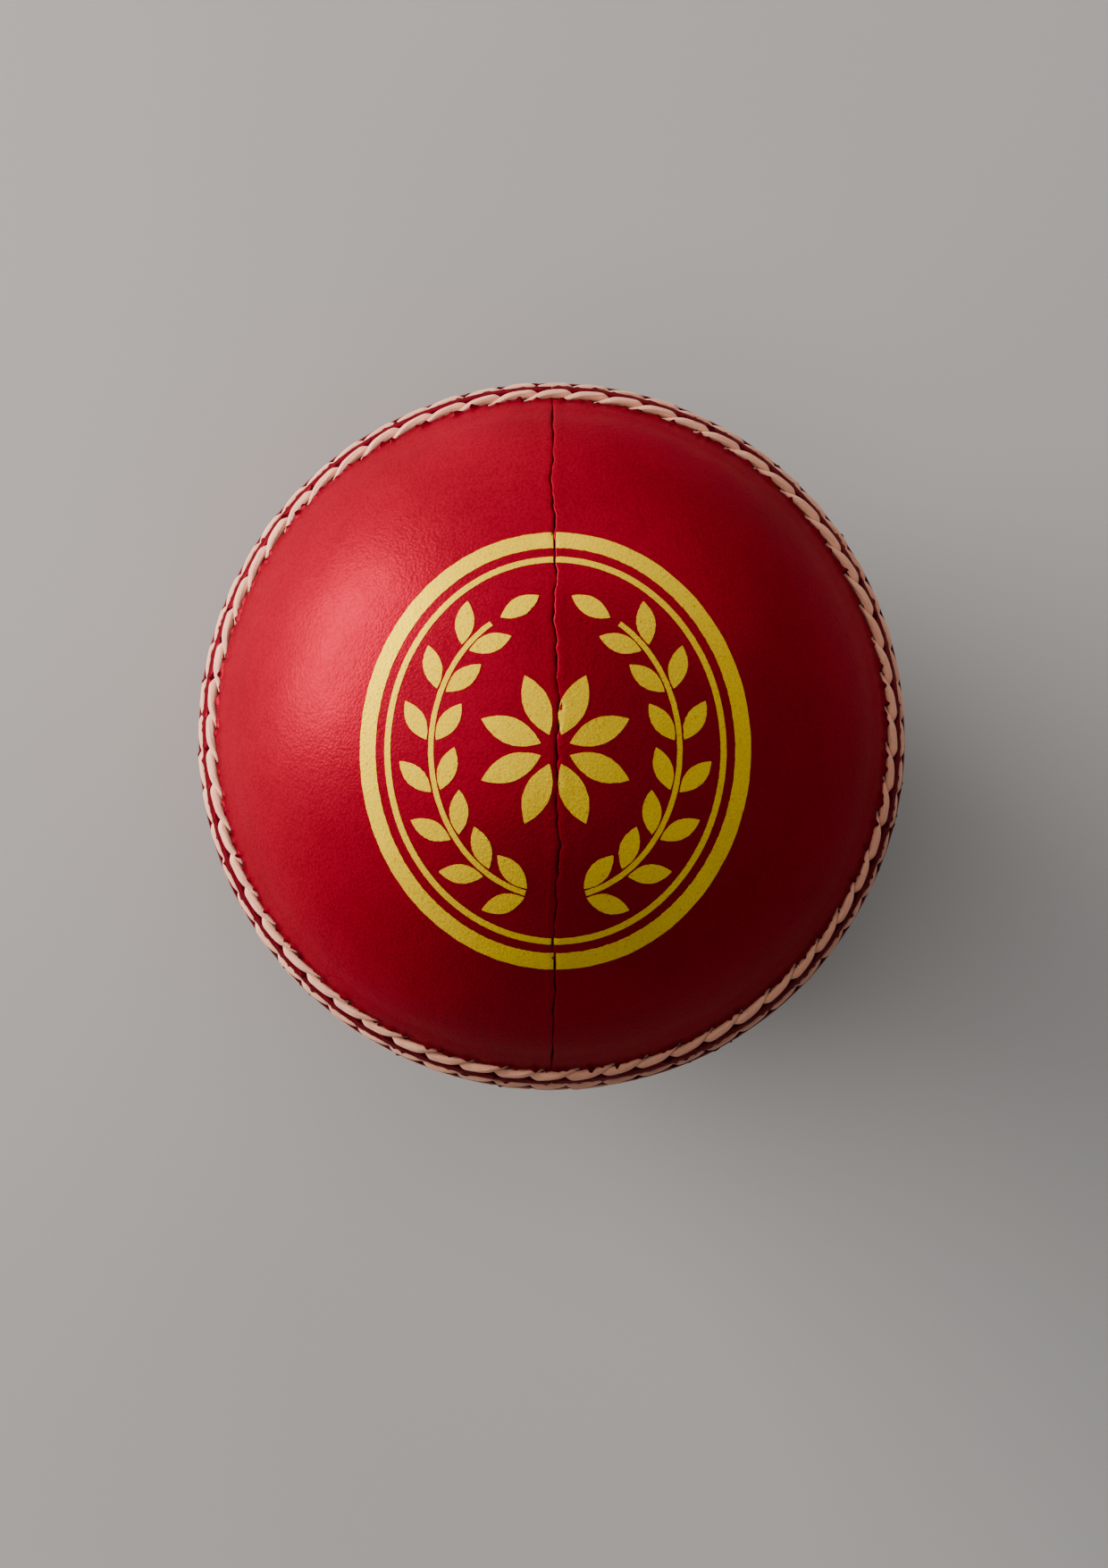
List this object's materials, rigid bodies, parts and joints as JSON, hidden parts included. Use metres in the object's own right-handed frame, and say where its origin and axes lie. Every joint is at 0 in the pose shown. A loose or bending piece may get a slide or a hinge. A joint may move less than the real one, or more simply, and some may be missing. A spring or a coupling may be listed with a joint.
{
  "type": "cricket ball",
  "caption": "Red leather cricket ball: a layered cork and wool core in a quartered leather cover with a raised stitched seam.",
  "frame": {"origin": "centre of the ball", "axes": "+Z along the pole axis, square to the plane of the primary seam, towards the stamped cup; +Y along that cup's quarter seam, towards the top of the mark; +X to the mark's right"},
  "size_m": [0.0726, 0.0726, 0.0712],
  "materials": {
    "cover": "polished dyed leather, satin to gloss",
    "lining": "undyed split leather, matte",
    "thread": "waxed linen thread, matte",
    "wool": "wound worsted yarn, matte",
    "cork": "cork, matte",
    "nucleus": "moulded cork and rubber, matte",
    "foil": "yellow-gold stamped pigment foil, satin"
  },
  "bodies": {
    "root": {"cork_rubber_nucleus": "nucleus", "wool_winding_1": "wool", "wool_winding_2": "wool", "wool_winding_3": "wool", "wool_winding_4": "wool", "cork_layer_1": "cork", "cork_layer_2": "cork", "cork_layer_3": "cork", "upper_right_leather_quarter": "cover", "upper_left_leather_quarter": "cover", "lower_back_leather_quarter": "cover", "lower_front_leather_quarter": "cover", "upper_backing_strip": "lining", "lower_backing_strip": "lining", "upper_quarter_seam_thread": "thread", "lower_quarter_seam_thread": "thread", "lip_joining_thread": "thread", "upper_lip_stitch_row": "thread", "upper_middle_stitch_row": "thread", "upper_outer_stitch_row": "thread", "lower_lip_stitch_row": "thread", "lower_middle_stitch_row": "thread", "lower_outer_stitch_row": "thread", "foil_mark": "foil"}
  },
  "joints": []
}
